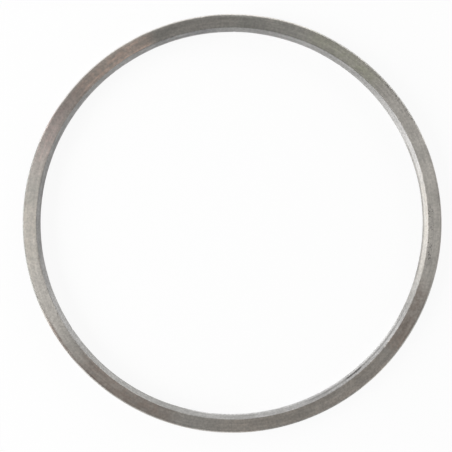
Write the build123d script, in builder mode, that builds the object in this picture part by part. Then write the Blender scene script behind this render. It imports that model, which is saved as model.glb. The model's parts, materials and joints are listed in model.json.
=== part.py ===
"""Shim ring: one steel ring that sets the axial play of a large bearing.

It drops into the bearing's seat, lies flat against the seat's shoulder, and
the bearing's outer race presses on its other face. The narrow section is
turned from tube and parted off: flat parallel faces, a plain bore, a wide
chamfer on each outer edge to clear the fillet in the corner of the seat, and
bore edges that are only broken with a deburring tool.

Frame: the ring lies flat, its axis is Z, and the origin is the centre of its
lower face. All sizes are in millimetres.
"""

import os

from build123d import *

# What the ring fits: the bored seat, and the gap round it that lets it drop in.
seat_diameter = 150.0
seat_clearance = 0.1  # on the radius

# The section of the ring.
ring_width = 5.15  # from the rim to the bore, a little less than the race's end face
thickness = 4.0
seat_chamfer = 0.5  # outer edges, at 45 degrees
bore_edge_break = 0.15  # radius left on the bore edges by the deburring tool

rim_radius = seat_diameter / 2 - seat_clearance
bore_radius = rim_radius - ring_width

with BuildPart() as shim_ring:
    with BuildSketch(Plane.XZ) as section:
        with Locations((bore_radius, 0)):
            Rectangle(ring_width, thickness, align=(Align.MIN, Align.MIN))
        bore_corners, seat_corners = section.vertices().group_by(Axis.X)
        chamfer(seat_corners, length=seat_chamfer)
        fillet(bore_corners, radius=bore_edge_break)
    revolve(axis=Axis.Z)
shim_ring.part.label = "shim_ring"

os.makedirs("parts", exist_ok=True)
export_step(shim_ring.part, "parts/shim_ring.step")
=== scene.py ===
"""A bearing shim ring of bare turned steel, lying flat on a white table.

Lengths are in metres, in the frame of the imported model: the ring's axis is Z
and its lower face lies on the table at Z = 0. The steel's patterns count in
millimetres and in degrees round the ring, anticlockwise from +X.
"""

import json
import math

import bpy
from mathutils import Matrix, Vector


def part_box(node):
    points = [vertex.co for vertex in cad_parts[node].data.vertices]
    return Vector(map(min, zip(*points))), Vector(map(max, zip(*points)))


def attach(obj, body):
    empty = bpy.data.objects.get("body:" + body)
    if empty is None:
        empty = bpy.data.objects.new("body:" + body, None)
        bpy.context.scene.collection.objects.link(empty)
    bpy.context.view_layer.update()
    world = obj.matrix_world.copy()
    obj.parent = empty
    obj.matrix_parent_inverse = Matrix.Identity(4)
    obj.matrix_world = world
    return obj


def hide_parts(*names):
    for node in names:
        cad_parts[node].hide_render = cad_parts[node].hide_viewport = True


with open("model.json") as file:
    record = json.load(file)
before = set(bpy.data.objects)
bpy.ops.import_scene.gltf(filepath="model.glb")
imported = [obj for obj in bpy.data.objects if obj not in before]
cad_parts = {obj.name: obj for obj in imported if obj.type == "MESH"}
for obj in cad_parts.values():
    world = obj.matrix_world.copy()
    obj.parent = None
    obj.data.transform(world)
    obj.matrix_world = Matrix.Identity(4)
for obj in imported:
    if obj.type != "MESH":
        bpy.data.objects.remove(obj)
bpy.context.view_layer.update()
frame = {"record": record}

# ---------------------------------------------------------------------------
# The camera
# It looks straight down from a hand's height above the ring, a little off the
# ring's axis, so that a strip of the bore wall shows all the way round.
# ---------------------------------------------------------------------------
MM = 0.001
ring_low, ring_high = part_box("shim_ring")
bore_mount = next(m["dims"] for m in frame["record"]["mounts"] if m["name"] == "bore")

camera_height = 150 * MM  # above the ring's upper face
camera_aside = (-9.2 * MM, 6.8 * MM)  # from the ring's axis
camera_shift = (0.0433, -0.0478)  # brings the ring back to the middle of the view
half_view = 80.5 * MM  # from the middle to the side of the view, at the upper face

camera = bpy.data.objects.new("camera", bpy.data.cameras.new("camera"))
bpy.context.scene.collection.objects.link(camera)
camera.location = (*camera_aside, ring_high.z + camera_height)
camera.data.lens = camera.data.sensor_width / 2 * camera_height / half_view
camera.data.shift_x, camera.data.shift_y = camera_shift
camera.data.clip_start = 0.01
bpy.context.scene.camera = camera

# ---------------------------------------------------------------------------
# The steel
# Plain bearing-grade steel with no coating. The lathe tool has left fine lines
# # round every surface, which draw each light out into a bow tie across the
# # ring, and years of use have left faint straw and brown stains. Painted light
# # and shade on the chamfers and in the bore follow how they are lit round the ring.
# ---------------------------------------------------------------------------


def add(tree, kind, inputs=(), out=0, **settings):
    """Adds a node, fills or joins its inputs in order or by name, and gives one output."""
    made = tree.nodes.new(kind)
    for name, value in settings.items():
        setattr(made, name, value)
    pairs = inputs.items() if isinstance(inputs, dict) else enumerate(inputs)
    for key, value in pairs:
        if isinstance(value, bpy.types.NodeSocket):
            tree.links.new(value, made.inputs[key])
        elif value is not None:
            made.inputs[key].default_value = value
    return made.outputs[out]


def sums(tree, operation, *values):
    """One step of arithmetic on single values."""
    return add(tree, "ShaderNodeMath", values, operation=operation)


def climb(tree, value, low, high, start=0.0, end=1.0):
    """A smooth climb from start to end while value goes from low to high."""
    return add(
        tree, "ShaderNodeMapRange", (value, low, high, start, end),
        interpolation_type="SMOOTHSTEP",
    )


def new_group(name, kind, takes, gives):
    """A node group with named inputs and outputs: the tree and its two ends."""
    tree = bpy.data.node_groups.new(name, kind)
    ends = []
    for way, sockets in (("INPUT", takes), ("OUTPUT", gives)):
        for label, socket_type in sockets.items():
            tree.interface.new_socket(
                label, in_out=way, socket_type="NodeSocket" + socket_type
            )
        ends.append(tree.nodes.new("NodeGroup" + way.title()))
    return tree, ends[0].outputs, ends[1].inputs


def use_group(tree, group, out=0, **values):
    """Places a group in a material, fills its inputs by name, and gives one output or all."""
    made = tree.nodes.new("ShaderNodeGroup")
    made.node_tree = group
    for name, value in values.items():
        socket = made.inputs[name.replace("_", " ").capitalize()]
        if isinstance(value, bpy.types.NodeSocket):
            tree.links.new(value, socket)
        else:
            socket.default_value = value
    return made.outputs if out is None else made.outputs[out]


def ring_place_group():
    """Where a point is on the ring: out from the axis, up from the table, and round."""
    tree, given, result = new_group(
        "Ring place", "ShaderNodeTree",
        {"Point": "Vector"},
        {"Out": "Float", "Up": "Float", "Round": "Float", "Direction": "Vector"},
    )
    x, y, up = add(tree, "ShaderNodeSeparateXYZ", [given["Point"]], slice(None))
    flat = add(tree, "ShaderNodeCombineXYZ", [x, y])
    tree.links.new(
        add(tree, "ShaderNodeVectorMath", [flat], 1, operation="LENGTH"), result["Out"]
    )
    tree.links.new(up, result["Up"])
    turned = sums(tree, "DEGREES", sums(tree, "ARCTAN2", y, x))
    tree.links.new(sums(tree, "WRAP", turned, 360.0, 0.0), result["Round"])
    tree.links.new(
        add(tree, "ShaderNodeVectorMath", [flat], operation="NORMALIZE"),
        result["Direction"],
    )
    return tree


def lathe_lines_group():
    """Lines drawn out round the ring, of uneven depth from line to line."""
    tree, given, result = new_group(
        "Lathe lines", "ShaderNodeTree",
        {
            "Out": "Float", "Up": "Float", "Direction": "Vector",
            "Line width": "Float", "Breaks": "Float", "Layers": "Float",
        },
        {"Lines": "Float"},
    )
    # A sloped mix of the two lengths changes on every face, also on the chamfers.
    across = sums(tree, "MULTIPLY_ADD", given["Up"], 1.3, given["Out"])
    across = sums(tree, "DIVIDE", across, given["Line width"])
    along = add(
        tree, "ShaderNodeVectorMath", {0: given["Direction"], "Scale": given["Breaks"]},
        operation="SCALE",
    )
    point = add(
        tree, "ShaderNodeVectorMath",
        [along, add(tree, "ShaderNodeCombineXYZ", {"Z": across})], operation="ADD",
    )
    lines = add(
        tree, "ShaderNodeTexNoise",
        {"Vector": point, "Scale": 1.0, "Detail": given["Layers"], "Roughness": 0.6},
    )
    tree.links.new(lines, result["Lines"])
    return tree


def cloud_group():
    """Soft uneven patches about as wide as Size, spread to fill 0 to 1."""
    tree, given, result = new_group(
        "Cloud", "ShaderNodeTree",
        {"Point": "Vector", "Size": "Float", "Layers": "Float", "Shift": "Float"},
        {"Cloud": "Float"},
    )
    moved = add(
        tree, "ShaderNodeVectorMath",
        [given["Point"], add(tree, "ShaderNodeCombineXYZ", {"Z": given["Shift"]})],
        operation="ADD",
    )
    noise = add(
        tree, "ShaderNodeTexNoise",
        {
            "Vector": moved,
            "Scale": sums(tree, "DIVIDE", 1.0, given["Size"]),
            "Detail": given["Layers"],
        },
    )
    tree.links.new(climb(tree, noise, 0.32, 0.68), result["Cloud"])
    return tree


def ring_arc_group():
    """A stretch of the ring from one angle to another, fading in and out."""
    tree, given, result = new_group(
        "Ring arc", "ShaderNodeTree",
        {
            "Round": "Float", "Start": "Float", "End": "Float",
            "Fade in": "Float", "Fade out": "Float",
        },
        {"Arc": "Float"},
    )
    middle = sums(tree, "MULTIPLY", sums(tree, "ADD", given["Start"], given["End"]), 0.5)
    turn = sums(tree, "WRAP", sums(tree, "SUBTRACT", given["Round"], middle), 180.0, -180.0)
    half = sums(tree, "SUBTRACT", given["End"], middle)
    opens = sums(tree, "DIVIDE", sums(tree, "ADD", turn, half), given["Fade in"])
    closes = sums(tree, "DIVIDE", sums(tree, "SUBTRACT", half, turn), given["Fade out"])
    both = sums(tree, "MULTIPLY", climb(tree, opens, -0.5, 0.5), climb(tree, closes, -0.5, 0.5))
    tree.links.new(both, result["Arc"])
    return tree


def make_steel():
    """The bare steel of the ring, with its lathe lines, its stains, and painted light and shade
    on its chamfers and bore.
    """
    steel = bpy.data.materials.new("turned steel")
    steel.use_nodes = True
    tree = steel.node_tree
    shader = tree.nodes["Principled BSDF"]

    point = add(
        tree, "ShaderNodeMapping",
        {"Vector": add(tree, "ShaderNodeTexCoord", out=3), "Scale": (1 / MM,) * 3},
    )
    out, up, angle, direction = use_group(tree, ring_place_group(), None, point=point)[:]
    lathe, cloud, arc = lathe_lines_group(), cloud_group(), ring_arc_group()

    def blend(amount, plain, full):
        """A color, or a socket, that turns from plain to full by amount."""
        return add(
            tree, "ShaderNodeMix",
            {0: amount, 6: tinted(plain), 7: tinted(full)}, 2, data_type="RGBA",
        )

    def tinted(value):
        """A color with its alpha, or the socket as it is."""
        return (*value, 1) if isinstance(value, tuple) else value

    def lines(width, breaks, layers):
        """Lathe lines of one width in millimetres."""
        return use_group(
            tree, lathe, out=0, up=up, direction=direction,
            line_width=width, breaks=breaks, layers=layers, **{"Out": out},
        )

    # Where the bore begins and where the chamfers do, out from the axis.
    bore_radius, rim_radius = bore_mount["r_mm"], ring_high.x / MM
    in_bore = climb(tree, out, bore_radius + 0.17, bore_radius + 0.05)
    on_chamfer = climb(tree, out, rim_radius - 0.85, rim_radius - 0.65)

    fine = lines(0.35, 5.0, 2.0)
    broad = lines(1.3, 3.0, 1.0)
    specks = use_group(tree, cloud, point=point, size=0.75, layers=3.0, shift=0.0)
    patches = use_group(tree, cloud, point=point, size=6.0, layers=3.0, shift=40.0)
    mottle = use_group(tree, cloud, point=point, size=2.2, layers=4.0, shift=80.0)
    mottle = climb(tree, mottle, 0.1, 0.7, 0.6, 1.0)
    smears = climb(tree, lines(0.9, 4.0, 2.0), 0.35, 0.65, 0.6, 1.0)
    mottle = sums(tree, "MULTIPLY", mottle, smears)
    pits = use_group(tree, cloud, point=point, size=0.55, layers=1.0, shift=120.0)
    pits = climb(tree, pits, 0.8, 1.0)

    def stain_or_painted_light(color, start, end, fade_in, fade_out, full, where=mottle):
        """The color with a stain, or with painted light or shade, over a stretch of the ring,
        mottled or only somewhere.
        """
        amount = use_group(
            tree, arc, round=angle, start=start, end=end, fade_in=fade_in, fade_out=fade_out
        )
        return blend(sums(tree, "MULTIPLY", amount, where), color, full)

    # The faces: bare steel, with olive, straw and brown where oil has dried on it.
    face = (0.49, 0.467, 0.432)
    face = stain_or_painted_light(face, 44.0, 68.0, 8.0, 8.0, (0.485, 0.48, 0.40))
    face = stain_or_painted_light(face, 68.0, 90.0, 8.0, 10.0, (0.40, 0.39, 0.36))
    face = stain_or_painted_light(face, 114.0, 143.0, 5.0, 12.0, (0.82, 0.665, 0.575))
    face = stain_or_painted_light(face, 140.0, 163.0, 12.0, 14.0, (0.59, 0.505, 0.472))
    face = stain_or_painted_light(face, 174.0, 192.0, 8.0, 10.0, (0.56, 0.525, 0.475))
    face = stain_or_painted_light(face, 222.0, 252.0, 12.0, 10.0, (0.44, 0.375, 0.33))
    face = stain_or_painted_light(face, 266.0, 320.0, 12.0, 8.0, (0.58, 0.53, 0.475))
    face = stain_or_painted_light(face, 322.0, 331.0, 4.0, 4.0, (0.50, 0.42, 0.36))
    face = stain_or_painted_light(face, 326.0, 342.0, 6.0, 8.0, (0.36, 0.315, 0.28))

    # Next to the rim: a brown line. On the chamfers, painted highlights lighten them from 82°
    # to 146°, 222° to 272° and
    #     # 318° to 346°, and painted shade darkens them from 26° to 66°, 156° to 204° and 278°
    #     to 308°.
    near_rim = climb(tree, out, rim_radius - 1.7, rim_radius - 1.0)
    brown_line = sums(tree, "MULTIPLY", near_rim, mottle)
    face = stain_or_painted_light(face, 208.0, 234.0, 10.0, 4.0, (0.29, 0.235, 0.21), brown_line)
    face = stain_or_painted_light(face, 26.0, 66.0, 8.0, 8.0, (0.38, 0.37, 0.35), on_chamfer)
    # Painted highlight on the chamfers, and faintly on the face by the rim, from 82° to 146°.
    rim_highlight = sums(tree, "MAXIMUM", on_chamfer, sums(tree, "MULTIPLY", near_rim, 0.25))
    face = stain_or_painted_light(face, 82.0, 146.0, 8.0, 8.0, (0.90, 0.87, 0.82), rim_highlight)
    face = stain_or_painted_light(face, 156.0, 204.0, 10.0, 8.0, (0.30, 0.295, 0.275), on_chamfer)
    face = stain_or_painted_light(face, 222.0, 272.0, 6.0, 8.0, (0.68, 0.65, 0.61), on_chamfer)
    face = stain_or_painted_light(face, 278.0, 308.0, 6.0, 6.0, (0.37, 0.36, 0.34), on_chamfer)
    face = stain_or_painted_light(face, 318.0, 346.0, 6.0, 6.0, (0.52, 0.51, 0.48), on_chamfer)

    # Corrosion pits by the bore on one side, and by the rim further round.
    pits_by_bore = climb(tree, out, bore_radius + 2.8, bore_radius + 1.2)
    pits_by_bore = sums(tree, "MULTIPLY", pits_by_bore, pits)
    face = stain_or_painted_light(face, -12.0, 5.0, 4.0, 4.0, (0.22, 0.21, 0.20), pits_by_bore)
    pits_by_rim = sums(tree, "MULTIPLY", near_rim, pits)
    face = stain_or_painted_light(face, 28.0, 47.0, 4.0, 4.0, (0.20, 0.19, 0.18), pits_by_rim)

    # The bore: cleaner steel. Painted shade darkens it from 82° to 190°, most from 94° to 114°,
    # and from 220° to 262°
    #     # and 332° to 350°; painted light lightens it from 276° to 330°; and a warm painted
    #     tint sits where the window's
    #     # highlight falls near 0°.
    bore = (0.50, 0.493, 0.482)
    bore = stain_or_painted_light(bore, 82.0, 190.0, 15.0, 15.0, (0.41, 0.404, 0.396))
    bore = stain_or_painted_light(bore, 94.0, 114.0, 10.0, 10.0, (0.34, 0.335, 0.335))
    bore = stain_or_painted_light(bore, 220.0, 262.0, 10.0, 10.0, (0.40, 0.395, 0.38))
    bore = stain_or_painted_light(bore, 276.0, 330.0, 8.0, 10.0, (0.66, 0.65, 0.64))
    bore = stain_or_painted_light(bore, 332.0, 350.0, 8.0, 8.0, (0.38, 0.37, 0.35))
    bore = stain_or_painted_light(bore, -15.0, 14.0, 8.0, 10.0, (0.50, 0.475, 0.435))

    # Painted shade darkens its foot on one side, and painted light lightens it in two other
    # places.
    foot_shade = climb(tree, up, 1.9, 0.9)
    bore = stain_or_painted_light(bore, -18.0, 25.0, 8.0, 6.0, (0.32, 0.312, 0.298), foot_shade)
    foot = climb(tree, up, 1.5, 0.4)
    bore = stain_or_painted_light(bore, 62.0, 158.0, 12.0, 14.0, (0.56, 0.555, 0.55), foot)
    bore = stain_or_painted_light(bore, 258.0, 328.0, 10.0, 6.0, (0.80, 0.795, 0.79), foot)

    # Darker along the scored line half way up the bore, darkest over a short stretch.
    scored = sums(tree, "ABSOLUTE", sums(tree, "SUBTRACT", up, ring_high.z / MM / 2))
    scored = climb(tree, scored, 0.6, 0.3)
    bore = stain_or_painted_light(bore, 293.0, 335.0, 6.0, 10.0, (0.44, 0.435, 0.425), scored)
    bore = stain_or_painted_light(bore, 306.5, 312.0, 0.8, 0.8, (0.17, 0.165, 0.16), scored)
    color = blend(in_bore, face, bore)

    worn = climb(tree, fine, 0.3, 0.7, 0.91, 1.09)
    worn = sums(tree, "MULTIPLY", worn, climb(tree, broad, 0.3, 0.7, 0.94, 1.06))
    worn = sums(tree, "MULTIPLY", worn, climb(tree, specks, 0.0, 1.0, 0.91, 1.09))
    worn = sums(tree, "MULTIPLY", worn, climb(tree, patches, 0.0, 1.0, 0.95, 1.05))
    color = add(
        tree, "ShaderNodeVectorMath", {0: color, "Scale": worn}, operation="SCALE"
    )
    tree.links.new(color, shader.inputs["Base Color"])
    shader.inputs["Metallic"].default_value = 1.0

    # The chamfers are smoother than the faces, but for one dull stretch.
    dull = use_group(
        tree, arc, round=angle, start=152.0, end=219.0, fade_in=16.0, fade_out=8.0
    )
    rough = sums(tree, "MULTIPLY_ADD", dull, 0.2, -0.25)
    rough = sums(tree, "MULTIPLY_ADD", on_chamfer, rough, 0.55)
    rough = sums(tree, "ADD", rough, climb(tree, fine, 0.3, 0.7, -0.04, 0.04))
    tree.links.new(rough, shader.inputs["Roughness"])
    add_bump = add(
        tree, "ShaderNodeBump",
        {"Strength": 1.0, "Distance": 0.004 * MM, "Height": lines(0.22, 4.0, 2.0)},
    )
    tree.links.new(add_bump, shader.inputs["Normal"])
    shader.inputs["Anisotropic"].default_value = 0.9
    shader.inputs["Anisotropic Rotation"].default_value = 0.25
    tree.links.new(
        add(tree, "ShaderNodeTangent", direction_type="RADIAL", axis="Z"),
        shader.inputs["Tangent"],
    )
    return steel


# ---------------------------------------------------------------------------
# The ring
# One solid steel ring, turned from tube and parted off. Its outer edges are
# chamfered on the lathe, its bore edges are broken with a hand deburring tool,
# so their width wanders, and handling has nicked the edges.
# ---------------------------------------------------------------------------


def turned_ring_tree():
    """Sweeps the section round the axis, then takes the marks of work and use off it."""
    tree, given, result = new_group(
        "Turned ring", "GeometryNodeTree",
        {
            "Geometry": "Geometry",
            "Rim radius": "Float",
            "Ring width": "Float",
            "Thickness": "Float",
            "Chamfer": "Float",
            "Edge break": "Float",
            "Worn radius": "Float",
            "Steps round": "Int",
            "Step across": "Float",
            "Line depth": "Float",
            "Line width": "Float",
            "Edge break wander": "Float",
            "Nick count": "Int",
            "Nick reach": "Float",
            "Score depth": "Float",
            "Score from": "Float",
            "Score to": "Float",
            "Steel": "Material",
        },
        {"Geometry": "Geometry"},
    )
    bore_radius = sums(tree, "SUBTRACT", given["Rim radius"], given["Ring width"])

    # The section: a rectangle, its outer corners cut off and its bore corners rounded.
    blank = add(
        tree, "GeometryNodeCurvePrimitiveQuadrilateral",
        {"Width": given["Ring width"], "Height": given["Thickness"]},
    )
    side = add(tree, "ShaderNodeSeparateXYZ", [add(tree, "GeometryNodeInputPosition")])
    outer = sums(tree, "GREATER_THAN", side, 0.0)
    inner = sums(tree, "SUBTRACT", 1.0, outer)
    cut = sums(tree, "MULTIPLY", given["Chamfer"], outer)
    section = add(
        tree, "GeometryNodeFilletCurve",
        {
            "Curve": blank,
            "Count": sums(tree, "MULTIPLY_ADD", inner, 4.0, 1.0),
            "Radius": sums(tree, "MULTIPLY_ADD", given["Edge break"], inner, cut),
        },
        mode="POLY",
    )

    # Wear has rounded the corners of the chamfers.
    side = add(tree, "ShaderNodeSeparateXYZ", [add(tree, "GeometryNodeInputPosition")])
    outer = sums(tree, "GREATER_THAN", side, 0.0)
    section = add(
        tree, "GeometryNodeFilletCurve",
        {
            "Curve": section,
            "Count": sums(tree, "MULTIPLY", outer, 4.0),
            "Radius": sums(tree, "MULTIPLY", outer, given["Worn radius"]),
        },
        mode="POLY",
    )

    # Each side is divided at about the step across.
    corner = add(tree, "GeometryNodeInputPosition")
    count = add(tree, "GeometryNodeAttributeDomainSize", [section], component="CURVE")
    after = sums(tree, "ADD", add(tree, "GeometryNodeInputIndex"), 1.0)
    next_corner = add(
        tree, "GeometryNodeFieldAtIndex",
        {"Value": corner, "Index": sums(tree, "MODULO", after, count)},
        data_type="FLOAT_VECTOR",
    )
    length = add(
        tree, "ShaderNodeVectorMath", [corner, next_corner], 1, operation="DISTANCE"
    )
    cuts = sums(tree, "FLOOR", sums(tree, "DIVIDE", length, given["Step across"]))
    section = add(tree, "GeometryNodeSubdivideCurve", {"Curve": section, "Cuts": cuts})

    # The sweep, with the section's X pointing out from the axis.
    path = add(
        tree, "GeometryNodeCurvePrimitiveCircle",
        {
            "Resolution": given["Steps round"],
            "Radius": sums(
                tree, "MULTIPLY_ADD", given["Ring width"], -0.5, given["Rim radius"]
            ),
        },
    )
    path = add(tree, "GeometryNodeSetCurveNormal", [path], mode="Z_UP")
    ring = add(tree, "GeometryNodeCurveToMesh", {"Curve": path, "Profile Curve": section})
    half_thickness = sums(tree, "MULTIPLY", given["Thickness"], 0.5)
    ring = add(
        tree, "GeometryNodeSetPosition",
        {
            "Geometry": ring,
            "Offset": add(tree, "ShaderNodeCombineXYZ", {"Z": half_thickness}),
        },
    )

    # Where each point lies: out from the axis, up from the table, and round.
    place = add(tree, "GeometryNodeInputPosition")
    x, y, up = add(tree, "ShaderNodeSeparateXYZ", [place], slice(None))
    flat = add(tree, "ShaderNodeCombineXYZ", [x, y])
    out = add(tree, "ShaderNodeVectorMath", [flat], 1, operation="LENGTH")
    direction = add(tree, "ShaderNodeVectorMath", [flat], operation="NORMALIZE")
    angle = sums(tree, "WRAP", sums(tree, "DEGREES", sums(tree, "ARCTAN2", y, x)), 360.0, 0.0)
    from_middle = sums(tree, "ABSOLUTE", sums(tree, "SUBTRACT", up, half_thickness))

    def noise_round(across, breaks, layers):
        """Noise that drifts round the ring, and differs from one across to the next."""
        along = add(
            tree, "ShaderNodeVectorMath", {0: direction, "Scale": breaks}, operation="SCALE"
        )
        at = add(
            tree, "ShaderNodeVectorMath",
            [along, add(tree, "ShaderNodeCombineXYZ", {"Z": across})], operation="ADD",
        )
        return add(
            tree, "ShaderNodeTexNoise", {"Vector": at, "Scale": 1.0, "Detail": layers}
        )

    # Lathe lines, a few microns deep, that change on every face, also on the chamfers.
    across = sums(tree, "MULTIPLY_ADD", up, 1.3, out)
    across = sums(tree, "DIVIDE", across, given["Line width"])
    depth = sums(tree, "MULTIPLY", noise_round(across, 1.5, 1.0), given["Line depth"])

    # The deburring tool bit deeper in some places than in others.
    to_face = sums(tree, "SUBTRACT", half_thickness, from_middle)
    to_bore = sums(tree, "SUBTRACT", out, bore_radius)
    to_corner = add(
        tree, "ShaderNodeVectorMath",
        [add(tree, "ShaderNodeCombineXYZ", [to_face, to_bore])], 1, operation="LENGTH",
    )
    near = sums(tree, "DIVIDE", to_corner, given["Edge break"])
    bite = sums(tree, "MULTIPLY", climb(tree, near, 2.6, 0.4), given["Edge break wander"])
    side_of_ring = sums(tree, "SIGN", sums(tree, "SUBTRACT", up, half_thickness))
    side_of_ring = sums(tree, "MULTIPLY", side_of_ring, 7.0)
    wander = climb(tree, noise_round(side_of_ring, 3.0, 2.0), 0.35, 0.7)
    depth = sums(tree, "MULTIPLY_ADD", bite, wander, depth)

    # Nicks in the four edges, from knocks.
    full_turn = 6.2832
    nick_angle = add(
        tree, "FunctionNodeRandomValue", {"Min": 0.0, "Max": full_turn, "Seed": 3}, 1
    )
    upper = add(
        tree, "FunctionNodeRandomValue", {"Probability": 0.5, "Seed": 5}, 3,
        data_type="BOOLEAN",
    )
    on_rim = add(
        tree, "FunctionNodeRandomValue", {"Probability": 0.6, "Seed": 8}, 3,
        data_type="BOOLEAN",
    )
    third_chamfer = sums(tree, "MULTIPLY", given["Chamfer"], 0.35)
    nick_out = sums(
        tree, "MULTIPLY_ADD", on_rim,
        sums(tree, "SUBTRACT", given["Ring width"], third_chamfer), bore_radius,
    )
    nick_up = sums(tree, "MULTIPLY", upper, given["Thickness"])
    nicks = add(
        tree, "GeometryNodePoints",
        {
            "Count": given["Nick count"],
            "Position": add(
                tree, "ShaderNodeCombineXYZ",
                [
                    sums(tree, "MULTIPLY", sums(tree, "COSINE", nick_angle), nick_out),
                    sums(tree, "MULTIPLY", sums(tree, "SINE", nick_angle), nick_out),
                    nick_up,
                ],
            ),
        },
    )
    gap = add(
        tree, "GeometryNodeProximity", [nicks], 1, target_element="POINTS"
    )
    nearest = add(tree, "GeometryNodeSampleNearest", [nicks])
    reach = add(
        tree, "FunctionNodeRandomValue",
        {"Min": 0.5, "Max": 1.3, "ID": nearest, "Seed": 11}, 1,
    )
    reach = sums(tree, "MULTIPLY", reach, given["Nick reach"])
    dent = climb(tree, sums(tree, "DIVIDE", gap, reach), 1.0, 0.0)
    depth_to_reach = 0.22
    deepest = sums(tree, "MULTIPLY", reach, depth_to_reach)
    depth = sums(tree, "MULTIPLY_ADD", dent, deepest, depth)

    # A line scored into the bore by a bearing that was driven in askew.
    in_bore = sums(tree, "LESS_THAN", to_bore, given["Edge break"])
    line = climb(tree, sums(tree, "DIVIDE", from_middle, given["Step across"]), 1.1, 0.0)
    fade = 12.0
    opens = climb(tree, sums(tree, "SUBTRACT", angle, given["Score from"]), 0.0, fade)
    closes = climb(tree, sums(tree, "SUBTRACT", given["Score to"], angle), 0.0, fade)
    scored = sums(tree, "MULTIPLY", sums(tree, "MULTIPLY", opens, closes), line)
    scored = sums(tree, "MULTIPLY", scored, in_bore)
    depth = sums(tree, "MULTIPLY_ADD", scored, given["Score depth"], depth)

    worn = add(
        tree, "ShaderNodeVectorMath",
        {
            0: add(tree, "GeometryNodeInputNormal"),
            "Scale": sums(tree, "MULTIPLY", depth, -1.0),
        },
        operation="SCALE",
    )
    ring = add(tree, "GeometryNodeSetPosition", {"Geometry": ring, "Offset": worn})
    ring = add(tree, "GeometryNodeSetShadeSmooth", {"Geometry": ring})
    ring = add(tree, "GeometryNodeRealizeInstances", [ring])
    ring = add(
        tree, "GeometryNodeSetMaterial", {"Geometry": ring, "Material": given["Steel"]}
    )
    tree.links.new(ring, result["Geometry"])
    return tree


ring_sizes = {
    "Rim radius": ring_high.x,
    "Ring width": ring_high.x - bore_mount["r_mm"] * MM,
    "Thickness": ring_high.z,
    "Chamfer": 0.5 * MM,
    "Edge break": 0.15 * MM,
    "Worn radius": 0.7 * MM,
    "Steps round": 1040,
    "Step across": 0.26 * MM,
    "Line depth": 0.006 * MM,
    "Line width": 0.6 * MM,
    "Edge break wander": 0.08 * MM,
    "Nick count": 70,
    "Nick reach": 0.6 * MM,
    "Score depth": 0.05 * MM,
    "Score from": 290.0,
    "Score to": 345.0,
    "Steel": make_steel(),
}

ring = bpy.data.objects.new("turned_ring", bpy.data.meshes.new("turned ring blank"))
bpy.context.scene.collection.objects.link(ring)
turning = ring.modifiers.new("turning", "NODES")
turning.node_group = turned_ring_tree()
for socket in turning.node_group.interface.items_tree:
    if socket.in_out == "INPUT" and socket.name in ring_sizes:
        turning[socket.identifier] = ring_sizes[socket.name]
turned = bpy.data.meshes.new_from_object(
    ring.evaluated_get(bpy.context.evaluated_depsgraph_get())
)
turned.name = "turned ring"
ring.modifiers.clear()
ring.data = turned

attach(ring, "root")
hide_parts("shim_ring")

# ---------------------------------------------------------------------------
# The table
# A white table top without gloss, wide enough to run to the horizon. It isn't
# part of the object.
# ---------------------------------------------------------------------------
table_reach = 3.0
table_top = -0.02 * MM
table_mesh = bpy.data.meshes.new("table top")
table_mesh.from_pydata(
    [
        (x * table_reach, y * table_reach, table_top)
        for x, y in ((-1, -1), (1, -1), (1, 1), (-1, 1))
    ],
    [],
    [(0, 1, 2, 3)],
)
table = bpy.data.objects.new("table_top", table_mesh)
bpy.context.scene.collection.objects.link(table)
paper = bpy.data.materials.new("white table")
paper.use_nodes = True
tree = paper.node_tree
paper_shader = tree.nodes["Principled BSDF"]
paper_shader.inputs["Base Color"].default_value = (0.92, 0.92, 0.92, 1)
paper_shader.inputs["Roughness"].default_value = 0.9
paper_shader.inputs["Specular IOR Level"].default_value = 0.1

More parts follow.
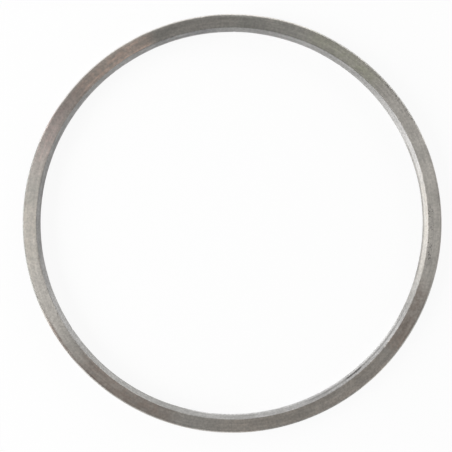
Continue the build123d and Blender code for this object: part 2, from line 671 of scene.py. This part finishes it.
# Most of its whiteness is its own where it is looked at, so that the ring's
# shadow on it stays faint and its far edge meets the white room. The steel
# mirrors that white too, but near the ring it mirrors more of the shadow.
rays = tree.nodes.new("ShaderNodeLightPath")
from_ring = add(
    tree, "ShaderNodeVectorMath", [add(tree, "ShaderNodeTexCoord", out=3)], 1,
    operation="LENGTH",
)
seen = climb(tree, from_ring, 0.12, 0.6, 0.9, 1.0)
seen = sums(tree, "MULTIPLY", seen, rays.outputs["Is Camera Ray"])
mirrored = climb(tree, from_ring, 0.12, 0.6, 0.2, 1.0)
in_mirror = sums(
    tree, "MAXIMUM", rays.outputs["Is Glossy Ray"], rays.outputs["Is Transmission Ray"]
)
mirrored = sums(tree, "MULTIPLY", mirrored, in_mirror)
own_white = sums(tree, "MAXIMUM", seen, mirrored)
glow = tree.nodes.new("ShaderNodeEmission")
mixed = add(
    tree, "ShaderNodeMixShader", [own_white, paper_shader.outputs[0], glow.outputs[0]]
)
tree.links.new(mixed, tree.nodes["Material Output"].inputs["Surface"])
table.data.materials.append(paper)

# ---------------------------------------------------------------------------
# The light
# A pale room, brighter at its walls than overhead, a wide window low on the
# left, and a fainter one in the opposite corner.
# ---------------------------------------------------------------------------
room = bpy.data.worlds.new("room")
room.use_nodes = True
bpy.context.scene.world = room
tree = room.node_tree
background = tree.nodes["Background"]
background.inputs["Color"].default_value = (1, 1, 1, 1)
direction = add(tree, "ShaderNodeTexCoord", out=0)
height = add(tree, "ShaderNodeSeparateXYZ", [direction], out=2)
tree.links.new(climb(tree, height, 0.1, 0.55, 1.4, 0.38), background.inputs["Strength"])


def window(name, azimuth, elevation, width, height, power, away=0.8):
    """A soft rectangle of light that faces the ring, in metres, degrees and watts."""
    lamp = bpy.data.objects.new(name, bpy.data.lights.new(name, "AREA"))
    bpy.context.scene.collection.objects.link(lamp)
    azimuth, elevation = math.radians(azimuth), math.radians(elevation)
    lamp.location = (
        away * math.cos(elevation) * math.cos(azimuth),
        away * math.cos(elevation) * math.sin(azimuth),
        away * math.sin(elevation),
    )
    lamp.rotation_euler = lamp.location.to_track_quat("Z", "Y").to_euler()
    lamp.data.shape = "RECTANGLE"
    lamp.data.size, lamp.data.size_y = width, height
    lamp.data.energy = power


window("window", 187, 22, 0.9, 0.4, 7.4)
window("far window", 50, 18, 0.9, 0.3, 2.4)

bpy.context.scene.view_settings.view_transform = "Standard"
